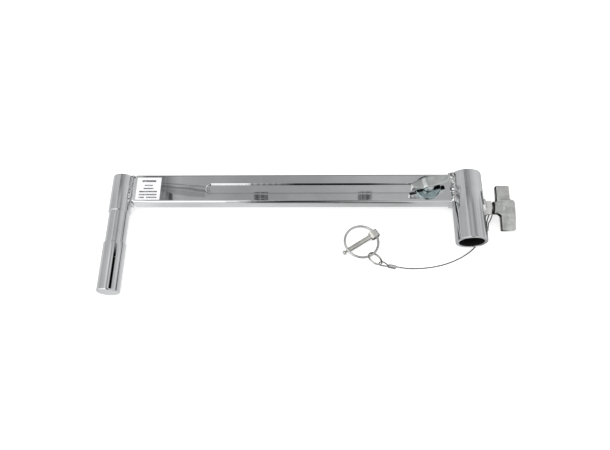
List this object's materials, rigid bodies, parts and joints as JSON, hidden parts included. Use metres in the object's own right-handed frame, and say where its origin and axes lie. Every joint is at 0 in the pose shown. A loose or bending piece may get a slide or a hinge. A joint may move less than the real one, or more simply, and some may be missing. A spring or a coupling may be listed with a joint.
{
  "type": "adjustable offset arm",
  "caption": "Slotted rectangular offset arm with a sliding stepped mounting pin at one end, a clamp-screw pin receiver at the other, screw handles, and a lynch pin on a cable lanyard.",
  "frame": {"origin": "The centre of the mounting pin's free end face.", "axes": "+X runs along the beam from the pin to the receiver. +Y runs along the pin from its free end to the welded end. +Z points out of the slotted face of the beam; the arm lies on its back, so +Z is up. In use the arm stands with +Y up."},
  "size_m": [0.5268, 0.163, 0.0492],
  "materials": {
    "outer_tube": "bright chrome plate over drawn rectangular tube",
    "receiver_tube": "bright chrome plate",
    "receiver_weld": "chrome plate over rough weld bead",
    "lock_boss": "chrome plate, slightly dull",
    "boss_weld": "chrome plate over rough weld bead",
    "label_plate": null,
    "junior_pin": "bright chrome plate over turned steel",
    "inner_tube": "chrome plate",
    "pin_weld": "chrome plate over rough weld bead",
    "clamp_nut": "zinc plate",
    "arm_lock_washer": "blue-white zinc plate",
    "arm_lock_handle": "zinc-plated casting",
    "arm_lock_screw": "zinc plate",
    "receiver_lock_handle": "zinc-plated casting",
    "receiver_lock_screw": "zinc plate",
    "lanyard_cable": "galvanised wire rope",
    "neck_ferrule": "pressed sleeve",
    "eye_ferrule": "pressed sleeve",
    "link_ring": "nickel-plated spring steel",
    "lynch_ring": "zinc-plated spring wire",
    "lynch_pin": "zinc-plated steel"
  },
  "bodies": {
    "receiver_arm": {"outer_tube": "outer_tube", "receiver_tube": "receiver_tube", "receiver_weld": "receiver_weld", "lock_boss": "lock_boss", "boss_weld": "boss_weld", "label_plate": "label_plate"},
    "pin_arm": {"junior_pin": "junior_pin", "inner_tube": "inner_tube", "pin_weld": "pin_weld", "clamp_nut": "clamp_nut"},
    "arm_lock_washer": {"arm_lock_washer": "arm_lock_washer"},
    "arm_lock_handle": {"arm_lock_handle": "arm_lock_handle", "arm_lock_screw": "arm_lock_screw"},
    "receiver_lock_screw": {"receiver_lock_screw": "receiver_lock_screw"},
    "receiver_lock_handle": {"receiver_lock_handle": "receiver_lock_handle"},
    "lanyard": {"lanyard_cable": "lanyard_cable", "neck_ferrule": "neck_ferrule", "eye_ferrule": "eye_ferrule"},
    "link_ring": {"link_ring": "link_ring"},
    "lynch_ring": {"lynch_ring": "lynch_ring"},
    "lynch_pin": {"lynch_pin": "lynch_pin"}
  },
  "joints": [
    {"name": "pin_arm_slide", "type": "slide", "parent": "receiver_arm", "child": "pin_arm", "axis": [-1, 0, 0], "range_m": [0, 0.282]},
    {"name": "arm_lock_lift", "type": "slide", "parent": "pin_arm", "child": "arm_lock_washer", "axis": [0, 0, 1], "range_m": [0, 0.00226]},
    {"name": "arm_lock_turn", "type": "hinge", "parent": "arm_lock_washer", "child": "arm_lock_handle", "pos_m": [0.4025, 0.1388, 0.0116], "axis": [0, 0, 1], "range_deg": [0, 540]},
    {"name": "receiver_lock_advance", "type": "slide", "parent": "receiver_arm", "child": "receiver_lock_screw", "axis": [1, 0, 0], "range_m": [0, 0.00451]},
    {"name": "receiver_lock_turn", "type": "hinge", "parent": "receiver_lock_screw", "child": "receiver_lock_handle", "pos_m": [0.4859, 0.1138, 0], "axis": [1, 0, 0], "range_deg": [0, 1080]},
    {"name": "lanyard_swing", "type": "hinge", "parent": "receiver_arm", "child": "lanyard", "pos_m": [0.4843, 0.1138, 0], "axis": [1, 0, 0], "range_deg": [0, 40]},
    {"name": "link_ring_swing", "type": "hinge", "parent": "lanyard", "child": "link_ring", "pos_m": [0.3383, 0.04271, -0.01008], "axis": [-0.4712, -0.4372, -0.766], "range_deg": [-30, 30]},
    {"name": "lynch_ring_swing", "type": "hinge", "parent": "link_ring", "child": "lynch_ring", "pos_m": [0.3265, 0.05543, -0.01008], "axis": [0.5616, 0.521, -0.6428], "range_deg": [-20, 20]},
    {"name": "lynch_pin_flip", "type": "hinge", "parent": "lynch_ring", "child": "lynch_pin", "pos_m": [0.33423, 0.08279, -0.01288], "axis": [0.5398, -0.8418, 0], "range_deg": [0, 170]}
  ],
  "couplings": [
    {"joint": "arm_lock_lift", "follows": "arm_lock_turn", "m_per_rad": 0.00023873},
    {"joint": "receiver_lock_advance", "follows": "receiver_lock_turn", "m_per_rad": 0.00023873}
  ]
}
